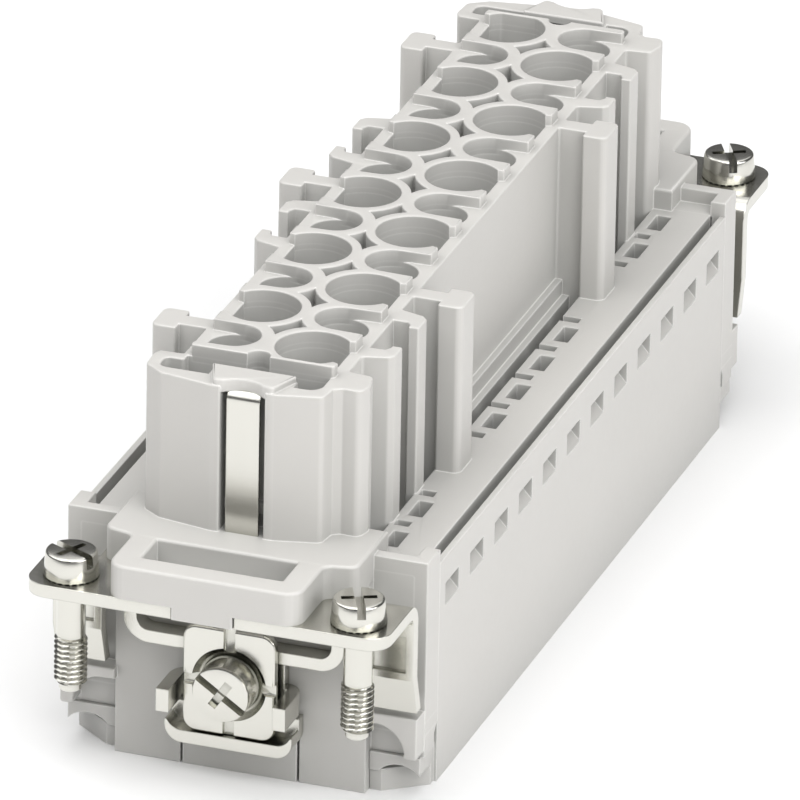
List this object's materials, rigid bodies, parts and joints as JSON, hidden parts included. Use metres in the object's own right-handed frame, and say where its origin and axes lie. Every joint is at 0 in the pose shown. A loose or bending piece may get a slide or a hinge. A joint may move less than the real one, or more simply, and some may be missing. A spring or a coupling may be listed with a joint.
{
  "type": "rectangular connector insert",
  "caption": "Heavy duty rectangular electrical connector insert with round contact chambers, guide ribs, end earth clamps and captive fixing screws",
  "frame": {"origin": "middle of the four fixing screws, on the underside of the ears, which is the mounting plane", "axes": "+X across the insert, +Y along it, +Z out of the mating face"},
  "size_m": [0.034, 0.1108, 0.0389],
  "materials": {
    "housing_plastic": "satin moulded polycarbonate, light warm grey",
    "nickel_plate": "bright nickel-plated steel",
    "contact_plate": "silver-plated turned contact"
  },
  "bodies": {
    "insert": {"contact_carrier": "housing_plastic", "terminal_housing": "housing_plastic", "ground_plate_near": "nickel_plate", "ground_plate_far": "nickel_plate", "socket_contact_left_01": "contact_plate", "socket_contact_left_02": "contact_plate", "socket_contact_left_03": "contact_plate", "socket_contact_left_04": "contact_plate", "socket_contact_left_05": "contact_plate", "socket_contact_left_06": "contact_plate", "socket_contact_left_07": "contact_plate", "socket_contact_left_08": "contact_plate", "socket_contact_left_09": "contact_plate", "socket_contact_left_10": "contact_plate", "socket_contact_left_11": "contact_plate", "socket_contact_left_12": "contact_plate", "socket_contact_right_01": "contact_plate", "socket_contact_right_02": "contact_plate", "socket_contact_right_03": "contact_plate", "socket_contact_right_04": "contact_plate", "socket_contact_right_05": "contact_plate", "socket_contact_right_06": "contact_plate", "socket_contact_right_07": "contact_plate", "socket_contact_right_08": "contact_plate", "socket_contact_right_09": "contact_plate", "socket_contact_right_10": "contact_plate", "socket_contact_right_11": "contact_plate", "socket_contact_right_12": "contact_plate"},
    "fixing_screw_near_left": {"fixing_screw_near_left": "nickel_plate"},
    "fixing_screw_near_right": {"fixing_screw_near_right": "nickel_plate"},
    "fixing_screw_far_left": {"fixing_screw_far_left": "nickel_plate"},
    "fixing_screw_far_right": {"fixing_screw_far_right": "nickel_plate"},
    "clamp_washer_near": {"clamp_washer_near": "nickel_plate"},
    "clamp_screw_near": {"clamp_screw_near": "nickel_plate"},
    "ground_spring_near": {"ground_spring_near": "nickel_plate"},
    "clamp_washer_far": {"clamp_washer_far": "nickel_plate"},
    "clamp_screw_far": {"clamp_screw_far": "nickel_plate"},
    "ground_spring_far": {"ground_spring_far": "nickel_plate"}
  },
  "joints": [
    {"name": "turn_fixing_screw_near_left", "type": "hinge", "parent": "insert", "child": "fixing_screw_near_left", "pos_m": [-0.0135, -0.052, 0], "axis": [0, 0, 1], "continuous": true},
    {"name": "turn_fixing_screw_near_right", "type": "hinge", "parent": "insert", "child": "fixing_screw_near_right", "pos_m": [0.0135, -0.052, 0], "axis": [0, 0, 1], "continuous": true},
    {"name": "turn_fixing_screw_far_left", "type": "hinge", "parent": "insert", "child": "fixing_screw_far_left", "pos_m": [-0.0135, 0.052, 0], "axis": [0, 0, 1], "continuous": true},
    {"name": "turn_fixing_screw_far_right", "type": "hinge", "parent": "insert", "child": "fixing_screw_far_right", "pos_m": [0.0135, 0.052, 0], "axis": [0, 0, 1], "continuous": true},
    {"name": "lift_clamp_washer_near", "type": "slide", "parent": "insert", "child": "clamp_washer_near", "axis": [0, -1, 0], "range_m": [0, 0.0014]},
    {"name": "turn_clamp_screw_near", "type": "hinge", "parent": "clamp_washer_near", "child": "clamp_screw_near", "pos_m": [0, -0.0475, -0.0092], "axis": [0, -1, 0], "range_deg": [0, 720]},
    {"name": "press_ground_spring_near", "type": "hinge", "parent": "insert", "child": "ground_spring_near", "pos_m": [0, -0.0451, 0.0034], "axis": [-1, 0, 0], "range_deg": [0, 2], "stiffness_Nm_per_rad": 0.05},
    {"name": "lift_clamp_washer_far", "type": "slide", "parent": "insert", "child": "clamp_washer_far", "axis": [0, 1, 0], "range_m": [0, 0.0014]},
    {"name": "turn_clamp_screw_far", "type": "hinge", "parent": "clamp_washer_far", "child": "clamp_screw_far", "pos_m": [0, 0.0475, -0.0092], "axis": [0, 1, 0], "range_deg": [0, 720]},
    {"name": "press_ground_spring_far", "type": "hinge", "parent": "insert", "child": "ground_spring_far", "pos_m": [0, 0.0451, 0.0034], "axis": [1, 0, 0], "range_deg": [0, 2], "stiffness_Nm_per_rad": 0.05}
  ],
  "couplings": [
    {"joint": "turn_clamp_screw_near", "follows": "lift_clamp_washer_near", "rad_per_m": 8975.9},
    {"joint": "turn_clamp_screw_far", "follows": "lift_clamp_washer_far", "rad_per_m": 8975.9}
  ]
}
